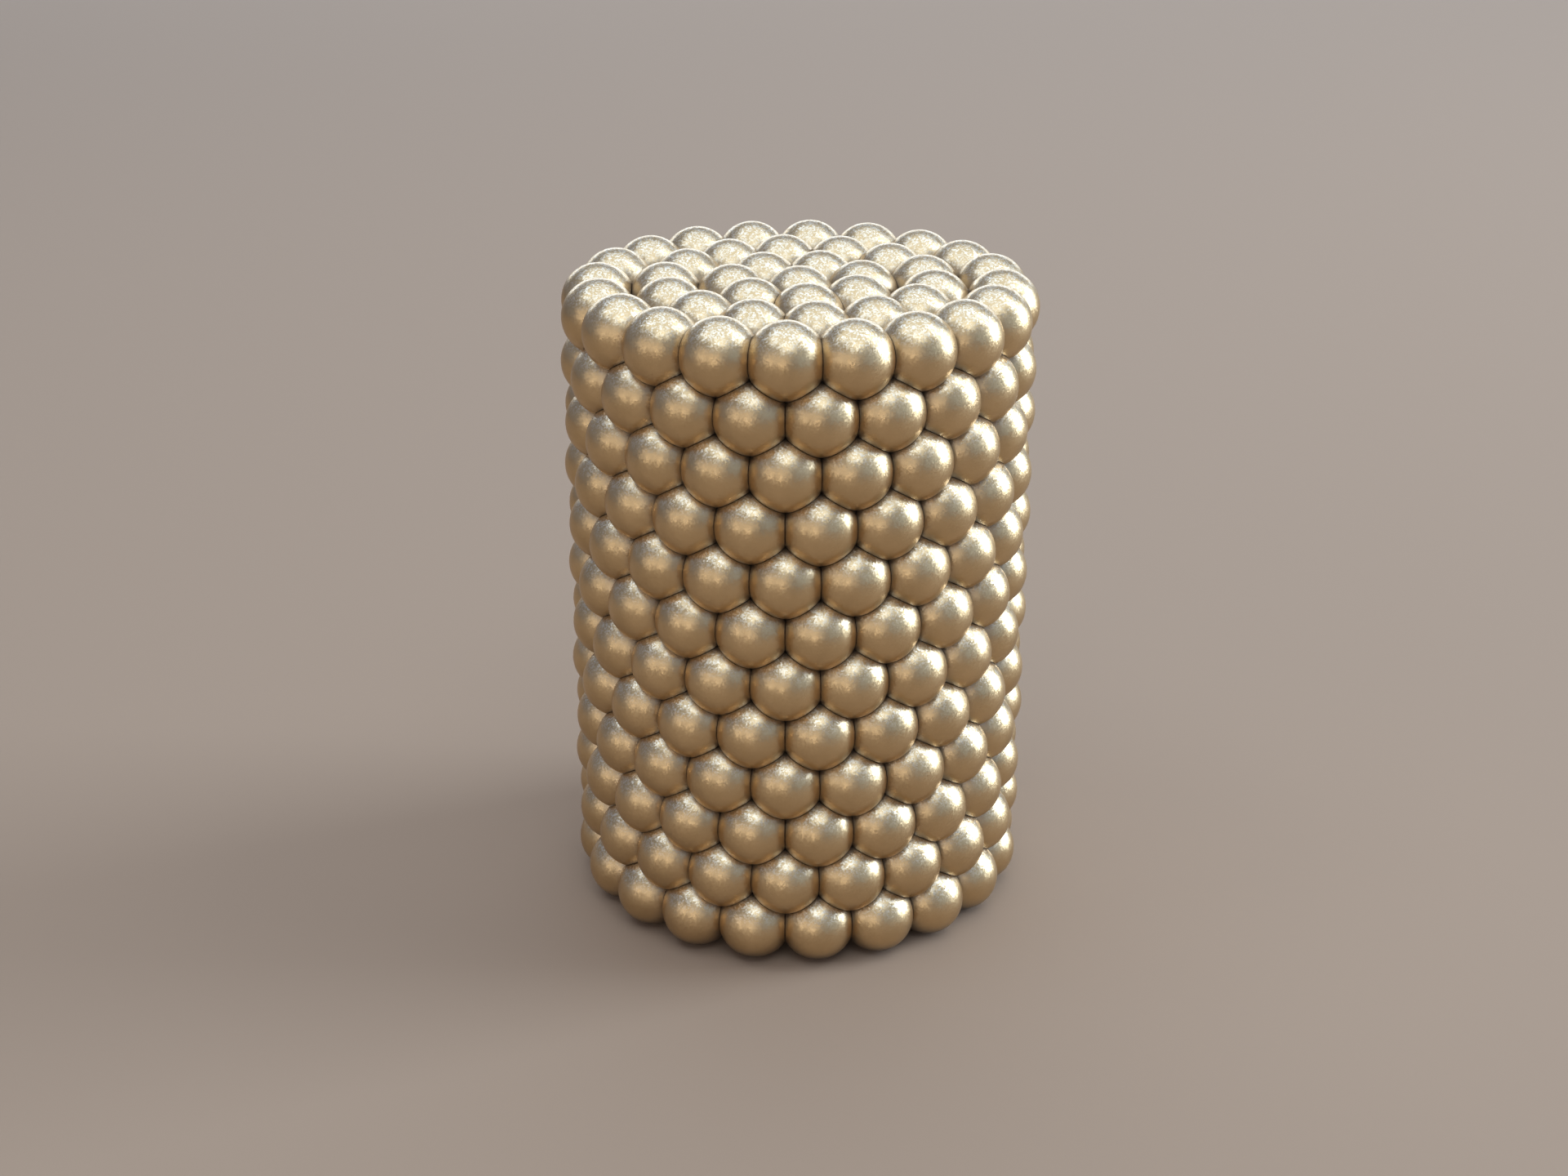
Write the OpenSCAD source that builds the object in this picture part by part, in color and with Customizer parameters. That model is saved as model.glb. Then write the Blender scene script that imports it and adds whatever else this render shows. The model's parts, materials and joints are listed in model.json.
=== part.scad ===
// Magnetic ball sculpture: a round tower of twelve discs of magnet balls.
// A disc is three concentric rings of balls round one centre ball. Every second disc is
// turned by half a step, so that its balls nest between those of the discs next to it.
// Neighbouring balls meet on small flats, with a thin seam between them.
// Origin: the centre of the circle that the bottom disc stands on. +Z is up.

/* [Balls] */
// Diameter of one magnet ball
ball_d = 10; // [5:0.5:12]
// Width of the seam between two neighbouring balls
seam_gap = 0.06; // [0.04:0.01:0.1]
// Depth of the flat that each bottom ball stands on
foot_depth = 0.1; // [0.06:0.02:0.3]

/* [Rings] */
// Balls in the outer ring of a disc
outer_count = 20; // [19:1:22]
// Balls in the middle ring of a disc
middle_count = 14; // [13:1:16]
// Balls in the inner ring of a disc
inner_count = 7; // [7:1:8]
// Step from one ring's circle to the next, in ball diameters
ring_step = 0.893; // [0.87:0.001:0.92]
// Angle of the first ball in every ring of the top disc, in degrees
first_angle = 122.7; // [0:0.1:359.9]

/* [Discs] */
// Number of discs in the tower
disc_count = 12; // [2:1:14]
// Height from one disc to the next, in ball diameters
disc_step = 0.716; // [0.65:0.001:0.8]

/* [Hidden] */
ball_r = ball_d / 2;
ring_pitch = ring_step * ball_d;
disc_pitch = disc_step * ball_d;
// The balls' centres stand lower than a radius above the table, because of the foot flats
bottom_z = ball_r - foot_depth;
// Width of a block that cuts a flat, wide enough to reach past the ball
block_w = 1.2 * ball_d;
$fn = 64;
gold = [0.76, 0.64, 0.44];

// Rings are numbered outwards from the centre ball, which is ring 0
centre = 0;
inner = 1;
middle = 2;
outer = 3;
ring_counts = [1, inner_count, middle_count, outer_count];
ring_names = ["centre_ball", "inner_ring", "middle_ring", "outer_ring"];

function node_name(disc, ring) = str("disc_", disc < 10 ? "0" : "", disc, "_", ring_names[ring]);

// Half of a ring's own step, which turns its balls in every second disc below the top one
function half_step(disc, ring) = (disc_count - disc) % 2 == 0 ? 0 : 180 / ring_counts[ring];

function ball_angle(disc, ring, ball) =
    first_angle + half_step(disc, ring) + ball * 360 / ring_counts[ring];

function ball_place(disc, ring, ball) =
    let (a = ball_angle(disc, ring, ball), r = ring * ring_pitch)
    [r * cos(a), r * sin(a), bottom_z + (disc - 1) * disc_pitch];

// Centres of all balls that lie in the discs and rings next to a ball, itself left out,
// and near enough to press against it
function neighbours(disc, ring, ball) =
    let (here = ball_place(disc, ring, ball))
    [
        for (
            d = [max(1, disc - 1):min(disc_count, disc + 1)],
            r = [max(centre, ring - 1):min(outer, ring + 1)],
            b = [0:ring_counts[r] - 1]
        )
        let (there = ball_place(d, r, b), gap = norm(there - here))
        if (gap > 0 && gap < ball_d) there
    ];

// Block that cuts a ball at here back from the plane halfway to its neighbour at there
module flat_cutter(here, there) {
    reach = there - here;
    span = norm(reach);
    translate(here)
        rotate([0, acos(reach.z / span), atan2(reach.y, reach.x)])
            translate([0, 0, (span - seam_gap + block_w) / 2])
                cube(block_w, center = true);
}

// Block below the table plane, which cuts the foot flat of a bottom ball
module foot_cutter(here) {
    translate([here.x, here.y, -block_w / 2])
        cube(block_w, center = true);
}

// Whole ball, its poles turned to where neighbours' flats cut them away: level and along the
// ring, or upright on a centre ball, of which only the topmost keeps its upper pole
module plain_ball(here, ring, angle) {
    translate(here)
        rotate([0, ring == centre ? 0 : 90, angle + 90])
            sphere(r = ball_r);
}

// Ball cut back towards each of the first cuts places in the list there, one after the other
module ball_with_flats(here, ring, angle, there, cuts) {
    if (cuts == 0)
        plain_ball(here, ring, angle);
    else
        difference() {
            ball_with_flats(here, ring, angle, there, cuts - 1);
            flat_cutter(here, there[cuts - 1]);
        }
}

module magnet_ball(disc, ring, ball) {
    here = ball_place(disc, ring, ball);
    there = neighbours(disc, ring, ball);
    difference() {
        ball_with_flats(here, ring, ball_angle(disc, ring, ball), there, len(there));
        if (disc == 1)
            foot_cutter(here);
    }
}

module ring_of_balls(disc, ring) {
    for (ball = [0:ring_counts[ring] - 1])
        magnet_ball(disc, ring, ball);
}

module outer_ring(disc) {
    color(gold)
        ring_of_balls(disc, outer);
}

module middle_ring(disc) {
    color(gold)
        ring_of_balls(disc, middle);
}

module inner_ring(disc) {
    color(gold)
        ring_of_balls(disc, inner);
}

module centre_ball(disc) {
    color(gold)
        magnet_ball(disc, centre, 0);
}

for (disc = [1:disc_count]) {
    outer_ring(disc);
    middle_ring(disc);
    inner_ring(disc);
    centre_ball(disc);
}
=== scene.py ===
"""Magnetic ball sculpture: a round tower of nested discs of satin gold magnet balls."""

import json
import math

import bmesh
import bpy
from mathutils import Matrix, Vector


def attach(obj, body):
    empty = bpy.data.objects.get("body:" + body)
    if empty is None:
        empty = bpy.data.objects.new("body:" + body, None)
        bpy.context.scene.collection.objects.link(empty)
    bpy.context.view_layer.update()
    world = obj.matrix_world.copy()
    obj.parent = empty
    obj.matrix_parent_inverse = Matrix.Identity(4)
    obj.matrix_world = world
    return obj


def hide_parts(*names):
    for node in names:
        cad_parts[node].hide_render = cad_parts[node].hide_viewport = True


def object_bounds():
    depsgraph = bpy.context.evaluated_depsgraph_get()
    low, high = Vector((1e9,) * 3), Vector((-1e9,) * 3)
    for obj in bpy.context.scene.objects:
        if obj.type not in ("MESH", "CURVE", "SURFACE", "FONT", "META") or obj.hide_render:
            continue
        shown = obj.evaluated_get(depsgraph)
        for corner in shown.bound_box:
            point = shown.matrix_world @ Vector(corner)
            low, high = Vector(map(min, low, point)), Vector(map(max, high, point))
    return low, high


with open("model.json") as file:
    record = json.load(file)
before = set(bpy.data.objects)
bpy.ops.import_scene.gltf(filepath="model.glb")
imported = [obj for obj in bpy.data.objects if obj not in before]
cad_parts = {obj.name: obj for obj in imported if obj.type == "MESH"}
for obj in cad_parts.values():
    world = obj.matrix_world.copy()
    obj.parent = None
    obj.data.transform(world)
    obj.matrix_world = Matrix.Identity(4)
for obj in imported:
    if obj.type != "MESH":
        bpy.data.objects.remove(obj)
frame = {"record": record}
CAD_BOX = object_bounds()

# ---------------------------------------------------------------- the tower's design, as in the CAD
RING_NAMES = ("centre_ball", "inner_ring", "middle_ring", "outer_ring")
RING_COUNTS = (1, 7, 14, 20)
DISC_COUNT = 12
SECOND_DISC = 2
MADE_DISCS = (1, SECOND_DISC, SECOND_DISC + 1, DISC_COUNT)
FIRST_ANGLE = math.radians(122.7)
RING_STEP = 0.893  # ring to ring, in ball diameters
DISC_STEP = 0.716  # disc to disc, in ball diameters
FOOT_SHARE = 0.01  # depth of a bottom ball's standing flat, in ball diameters
SEAM_SHARE = 0.006  # seam between two balls' flats, in ball diameters

TOWER_HEIGHT = CAD_BOX[1][2] - CAD_BOX[0][2]
BALL_D = TOWER_HEIGHT / ((DISC_COUNT - 1) * DISC_STEP + 1 - FOOT_SHARE)
BALL_R = BALL_D / 2
RING_PITCH = RING_STEP * BALL_D
DISC_PITCH = DISC_STEP * BALL_D
BOTTOM_Z = BALL_R - FOOT_SHARE * BALL_D
NEAREST = BALL_R / 10  # centres nearer than this are one ball's own
DOWN = Vector((0, 0, -1))

# ---------------------------------------------------------------- the camera
CAMERA_BACK = 0.2753  # level distance from the tower's axis
CAMERA_HEIGHT = 0.1576
CAMERA_ANGLES = (67.35, 0.0, 0.42)  # degrees, about X, Y and Z
CAMERA_LENS = 48.9  # focal length, in mm
CAMERA_SENSOR = 36.0  # width of the sensor, in mm
CAMERA_NEAR = 0.01  # nothing nearer than this is drawn


def node_name(disc, ring):
    return f"disc_{disc:02d}_{RING_NAMES[ring]}"


def ball_place(disc, ring, ball):
    """Centre of a ball. Discs are numbered from the bottom, rings from the centre ball."""
    turned = (DISC_COUNT - disc) % 2
    step = 2 * math.pi / RING_COUNTS[ring]
    angle = FIRST_ANGLE + step * (ball + turned / 2)
    radius = ring * RING_PITCH
    return Vector((
        radius * math.cos(angle),
        radius * math.sin(angle),
        BOTTOM_Z + (disc - 1) * DISC_PITCH,
    ))


def flats(disc, ring, ball):
    """(normal, distance from the ball's centre) of each flat on a ball."""
    here = ball_place(disc, ring, ball)
    found = []
    for d in range(max(1, disc - 1), min(DISC_COUNT, disc + 1) + 1):
        for r in range(max(0, ring - 1), min(len(RING_COUNTS) - 1, ring + 1) + 1):
            for b in range(RING_COUNTS[r]):
                reach = ball_place(d, r, b) - here
                if NEAREST < reach.length < BALL_D:
                    found.append((reach.normalized(), reach.length / 2 - SEAM_SHARE * BALL_R))
    if disc == 1:
        found.append((DOWN, BOTTOM_Z))
    return found


BALL_DETAIL = 4  # subdivisions of the icosahedron that a ball starts from


def cut_ball(disc, ring, ball):
    """A ball with its flats, centred on the origin: points, faces and the corners' normals.

    The round part keeps the sphere's own normals, so it shades as a true sphere right up to
    the sharp edge of each flat."""
    bm = bmesh.new()
    bmesh.ops.create_icosphere(bm, subdivisions=BALL_DETAIL, radius=BALL_R)
    flat = bm.faces.layers.int.new("flat")
    for normal, distance in flats(disc, ring, ball):
        cut = bmesh.ops.bisect_plane(
            bm,
            geom=bm.verts[:] + bm.edges[:] + bm.faces[:],
            plane_co=normal * distance,
            plane_no=normal,
            clear_outer=True,
        )
        rim = [e for e in cut["geom_cut"] if isinstance(e, bmesh.types.BMEdge)]
        for face in bmesh.ops.contextual_create(bm, geom=rim)["faces"]:
            face[flat] = 1
    bm.normal_update()
    bm.verts.index_update()
    points = [v.co.copy() for v in bm.verts]
    faces = []
    normals = []
    for face in bm.faces:
        corners = [v.index for v in face.verts]
        if face[flat] and face.normal.dot(face.calc_center_median()) < 0:
            corners.reverse()
        faces.append(corners)
        if face[flat]:
            outward = face.normal.copy()
            outward *= math.copysign(1, outward.dot(face.calc_center_median()))
            normals += [outward] * len(corners)
        else:
            normals += [points[i].normalized() for i in corners]
    bm.free()
    return points, faces, normals


def ring_mesh(name, disc, ring):
    """One mesh with all the balls of a ring, each of them closed."""
    points = []
    faces = []
    normals = []
    for ball in range(RING_COUNTS[ring]):
        place = ball_place(disc, ring, ball)
        ball_points, ball_faces, ball_normals = cut_ball(disc, ring, ball)
        start = len(points)
        points += [p + place for p in ball_points]
        faces += [[start + i for i in corners] for corners in ball_faces]
        normals += ball_normals
    mesh = bpy.data.meshes.new(name)
    mesh.from_pydata(points, [], faces)
    mesh.polygons.foreach_set("use_smooth", [True] * len(faces))
    mesh.normals_split_custom_set(normals)
    return mesh


def lifted_copy(mesh, name, lift):
    """The same ring in a disc that lies higher."""
    copy = mesh.copy()
    copy.name = name
    copy.transform(Matrix.Translation((0, 0, lift)))
    return copy


# ---------------------------------------------------------------- materials
GOLD_DEEP = (0.605, 0.435, 0.235, 1)
GOLD_LIGHT = (0.675, 0.49, 0.27, 1)
# Pale flecks of painted sparkle, laid on the balls' upward faces for the glints of the highlights
PAINTED_SPARKLE_COLOUR = (0.99, 0.95, 0.84, 1)
PAINTED_SEAM_SHADE = (0.31, 0.28, 0.25, 1)  # painted shade for the seams between balls, greyer and darker than the gold
RIM_TINT = (0.8, 0.75, 0.7, 1)  # tint of the metal's reflections at grazing angles
COAT_WEIGHT = 0.25
COAT_ROUGHNESS = 0.2
COAT_IOR = 1.45

CLOUDS_PER_M = 260.0  # slow changes of tint and gloss over the balls
CLOUD_DETAIL = 3.0
CLOUD_RANGE = (0.3, 0.7)  # noise values at which the deep and the light gold are reached
GLOSS_RANGE = (0.33, 0.40)  # roughness of the plating

GRAINS_PER_M = 5000.0
GRAIN_TILT = 0.12  # how far a grain leans out of the ball's surface
GRAIN_MIDDLE = (0.5, 0.5, 0.5)
SPARKLE_GRAINS = (0.35, 1.0)  # grains with a value below the first number stay gold, the others can take painted sparkle
UPWARD_SPARKLE_RANGE = (0.34, 0.85)  # upward part of the normal, from no painted sparkle to the most
PAINTED_SPARKLE_RANGE = (0.0, 0.80)

# Painted shade in the seams: the gold turns greyish brown where neighbouring balls close it in
SEAM_REACH = 0.45 * BALL_D
SEAM_RAYS = 6
OPEN_RANGE = (0.1, 0.7)  # share of open surroundings, from painted seam shade to gold

# Sockets of a Mix node that blends two colours
MIX_FACTOR = 0
MIX_UNDER = 6
MIX_OVER = 7
MIX_RESULT = 2


def ranged(tree, value, from_range=(0.0, 1.0), to_range=(0.0, 1.0)):
    """The value taken from one range to another, held within it."""
    node = tree.nodes.new("ShaderNodeMapRange")
    node.inputs["From Min"].default_value, node.inputs["From Max"].default_value = from_range
    node.inputs["To Min"].default_value, node.inputs["To Max"].default_value = to_range
    tree.links.new(value, node.inputs["Value"])
    return node.outputs["Result"]


def blend(tree, factor):
    """A node that blends two colours, its factor linked."""
    node = tree.nodes.new("ShaderNodeMix")
    node.data_type = "RGBA"
    tree.links.new(factor, node.inputs[MIX_FACTOR])
    return node


def vector_math(tree, operation, vector):
    """A node that changes a vector, its first input linked."""
    node = tree.nodes.new("ShaderNodeVectorMath")
    node.operation = operation
    tree.links.new(vector, node.inputs[0])
    return node


def cloud_value(tree, place):
    noise = tree.nodes.new("ShaderNodeTexNoise")
    noise.inputs["Scale"].default_value = CLOUDS_PER_M
    noise.inputs["Detail"].default_value = CLOUD_DETAIL
    tree.links.new(place, noise.inputs["Vector"])
    return noise.outputs["Fac"]


def cloudy_gold(tree, cloud):
    ramp = tree.nodes.new("ShaderNodeValToRGB")
    for stop, position, colour in zip(
        ramp.color_ramp.elements, CLOUD_RANGE, (GOLD_DEEP, GOLD_LIGHT)
    ):
        stop.position = position
        stop.color = colour
    tree.links.new(cloud, ramp.inputs["Fac"])
    return ramp.outputs["Color"]


def grain_value(tree, place):
    """A colour that differs from grain to grain."""
    cells = tree.nodes.new("ShaderNodeTexVoronoi")
    cells.inputs["Scale"].default_value = GRAINS_PER_M
    tree.links.new(place, cells.inputs["Vector"])
    return cells.outputs["Color"]


def with_painted_sparkle(tree, gold, grain, normal):
    """The gold with pale grains of painted sparkle, more of them the more the surface looks up,
    standing in for glints of the highlights.
    """
    parts = tree.nodes.new("ShaderNodeSeparateColor")
    tree.links.new(grain, parts.inputs["Color"])
    facing = tree.nodes.new("ShaderNodeSeparateXYZ")
    tree.links.new(normal, facing.inputs["Vector"])
    share = tree.nodes.new("ShaderNodeMath")
    share.operation = "MULTIPLY"
    tree.links.new(ranged(tree, parts.outputs["Red"], SPARKLE_GRAINS), share.inputs[0])
    tree.links.new(
        ranged(tree, facing.outputs["Z"], UPWARD_SPARKLE_RANGE, PAINTED_SPARKLE_RANGE), share.inputs[1]
    )
    mix = blend(tree, share.outputs["Value"])
    tree.links.new(gold, mix.inputs[MIX_UNDER])
    mix.inputs[MIX_OVER].default_value = PAINTED_SPARKLE_COLOUR
    return mix.outputs[MIX_RESULT]


def with_painted_seam_shade(tree, gold):
    """The gold with painted shade: it turns greyish brown where balls stand close to each other."""
    crevice = tree.nodes.new("ShaderNodeAmbientOcclusion")
    crevice.samples = SEAM_RAYS
    crevice.inputs["Distance"].default_value = SEAM_REACH
    mix = blend(tree, ranged(tree, crevice.outputs["AO"], OPEN_RANGE))
    mix.inputs[MIX_UNDER].default_value = PAINTED_SEAM_SHADE
    tree.links.new(gold, mix.inputs[MIX_OVER])
    return mix.outputs[MIX_RESULT]


def grainy_normal(tree, grain, normal):
    """The surface's normal, leaning a little to another side on every grain."""
    centred = vector_math(tree, "SUBTRACT", grain)
    centred.inputs[1].default_value = GRAIN_MIDDLE
    tilt = vector_math(tree, "SCALE", centred.outputs["Vector"])
    tilt.inputs["Scale"].default_value = GRAIN_TILT
    leaning = vector_math(tree, "ADD", normal)
    tree.links.new(tilt.outputs["Vector"], leaning.inputs[1])
    return vector_math(tree, "NORMALIZE", leaning.outputs["Vector"]).outputs["Vector"]


def gold_material():
    """Satin champagne gold plating with a fine sparkling grain under a thin clear coat, plus pale
    flecks of painted sparkle on its upward faces and painted shade in the seams between balls.
    """
    material = bpy.data.materials.new("satin_gold_plating")
    material.use_nodes = True
    tree = material.node_tree
    shader = tree.nodes["Principled BSDF"]
    shader.inputs["Metallic"].default_value = 1.0
    shader.inputs["Specular Tint"].default_value = RIM_TINT
    shader.inputs["Coat Weight"].default_value = COAT_WEIGHT
    shader.inputs["Coat Roughness"].default_value = COAT_ROUGHNESS
    shader.inputs["Coat IOR"].default_value = COAT_IOR

    place = tree.nodes.new("ShaderNodeTexCoord").outputs["Object"]
    normal = tree.nodes.new("ShaderNodeNewGeometry").outputs["Normal"]
    cloud = cloud_value(tree, place)
    grain = grain_value(tree, place)
    # pale grains of painted sparkle on the upward faces
    gold = with_painted_sparkle(tree, cloudy_gold(tree, cloud), grain, normal)
    # painted seam shade laid over the gold
    tree.links.new(with_painted_seam_shade(tree, gold), shader.inputs["Base Color"])
    tree.links.new(ranged(tree, cloud, to_range=GLOSS_RANGE), shader.inputs["Roughness"])
    tree.links.new(grainy_normal(tree, grain, normal), shader.inputs["Normal"])
    return material


FLOOR_COLOUR = (0.335, 0.235, 0.165, 1)
FLOOR_ROUGHNESS = 0.85


def floor_material():
    material = bpy.data.materials.new("pale_floor")
    material.use_nodes = True
    shader = material.node_tree.nodes["Principled BSDF"]
    shader.inputs["Base Color"].default_value = FLOOR_COLOUR
    shader.inputs["Roughness"].default_value = FLOOR_ROUGHNESS
    return material


# ---------------------------------------------------------------- the pieces
def add_ring(disc, ring, mesh, material):
    name = node_name(disc, ring)
    piece = bpy.data.objects.new(name + "_polished", mesh)
    bpy.context.scene.collection.objects.link(piece)
    mesh.materials.clear()
    mesh.materials.append(material)
    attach(piece, body_of_node(name))
    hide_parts(name)


def body_of_node(name):
    bodies = frame["record"]["behaviour"]["bodies"]
    return next(body for body, members in bodies.items() if name in members)


def add_balls():
    """Meshes are made for the bottom disc, the two above it and the top disc.
    The discs between repeat the second and the third in turn."""
    gold = gold_material()
    for ring in range(len(RING_COUNTS)):
        first = {}
        for disc in range(1, DISC_COUNT + 1):
            name = node_name(disc, ring) + "_polished"
            if disc in MADE_DISCS:
                mesh = ring_mesh(name, disc, ring)
                first[disc] = mesh
            else:
                pattern = SECOND_DISC + disc % 2
                mesh = lifted_copy(first[pattern], name, (disc - pattern) * DISC_PITCH)
            add_ring(disc, ring, mesh, gold)


# ---------------------------------------------------------------- floor, lights and camera
FLOOR_HALF = 6.0  # half the floor's width, in metres

WARM = (1.0, 0.90, 0.74)
COOL = (0.66, 0.82, 1.0)
SKY = (0.76, 0.89, 1.0)
SHADE = (0.52, 0.74, 1.0)
# name, azimuth and elevation in degrees, distance, width and height in metres, brightness, colour
LIGHTS = (
    ("overhead_softbox", 180, 87, 1.2, 1.3, 1.8, 1.32, SKY),
    ("ceiling_right", 95, 50, 1.6, 0.7, 0.6, 4.6, SKY),
    ("ceiling_left", -84, 57, 1.6, 0.6, 0.4, 2.6, SKY),
    ("ceiling_front", 5, 52, 1.6, 1.0, 0.4, 3.0, SKY),
    ("window", 100, 14, 1.6, 0.75, 1.0, 12.0, COOL),
    ("lamp_left", -47, 6, 1.5, 0.06, 0.06, 38.0, WARM),
    ("lamp_front", -14, 4, 1.5, 0.06, 0.06, 50.0, WARM),
    ("front_fill", -30, 18, 2.2, 3.8, 1.1, 0.66, WARM),
    ("right_fill", 50, 16, 2.2, 1.6, 1.0, 0.42, SHADE),
    ("back_panel", 180, 12, 1.8, 2.4, 0.4, 4.0, SKY),
)
STUDIO_COLOUR = (0.27, 0.30, 0.40, 1)
STUDIO_STRENGTH = 0.8


def add_floor():
    mesh = bpy.data.meshes.new("floor")
    corners = [
        (-FLOOR_HALF, -FLOOR_HALF, 0),
        (FLOOR_HALF, -FLOOR_HALF, 0),
        (FLOOR_HALF, FLOOR_HALF, 0),
        (-FLOOR_HALF, FLOOR_HALF, 0),
    ]
    mesh.from_pydata(corners, [], [(0, 1, 2, 3)])
    mesh.materials.append(floor_material())
    floor = bpy.data.objects.new("floor", mesh)
    bpy.context.scene.collection.objects.link(floor)


def add_light(name, azimuth, elevation, distance, width, height, brightness, colour):
    """A rectangular light that faces the tower. Azimuth 0 is the camera's side, 90 is right of it.
    Its brightness is the same from any distance, because the power follows the light's size."""
    light = bpy.data.lights.new(name, "AREA")
    light.shape = "RECTANGLE"
    light.size = width
    light.size_y = height
    light.energy = brightness * math.pi * width * height
    light.color = colour
    lamp = bpy.data.objects.new(name, light)
    a = math.radians(azimuth)
    e = math.radians(elevation)
    away = Vector((math.sin(a) * math.cos(e), -math.cos(a) * math.cos(e), math.sin(e)))
    lamp.location = away * distance + Vector((0, 0, TOWER_HEIGHT / 2))
    lamp.rotation_euler = away.to_track_quat("Z", "Y").to_euler()
    bpy.context.scene.collection.objects.link(lamp)


def add_lights():
    for light in LIGHTS:
        add_light(*light)
    world = bpy.data.worlds.new("studio")
    bpy.context.scene.world = world
    world.use_nodes = True
    background = world.node_tree.nodes["Background"]
    background.inputs["Color"].default_value = STUDIO_COLOUR
    background.inputs["Strength"].default_value = STUDIO_STRENGTH


def add_camera():
    data = bpy.data.cameras.new("camera")
    data.lens = CAMERA_LENS
    data.sensor_width = CAMERA_SENSOR
    data.clip_start = CAMERA_NEAR
    camera = bpy.data.objects.new("camera", data)
    camera.location = (0, -CAMERA_BACK, CAMERA_HEIGHT)
    camera.rotation_euler = [math.radians(a) for a in CAMERA_ANGLES]
    bpy.context.scene.collection.objects.link(camera)
    bpy.context.scene.camera = camera


add_balls()
add_floor()
add_lights()
add_camera()
bpy.context.scene.view_settings.view_transform = "Standard"
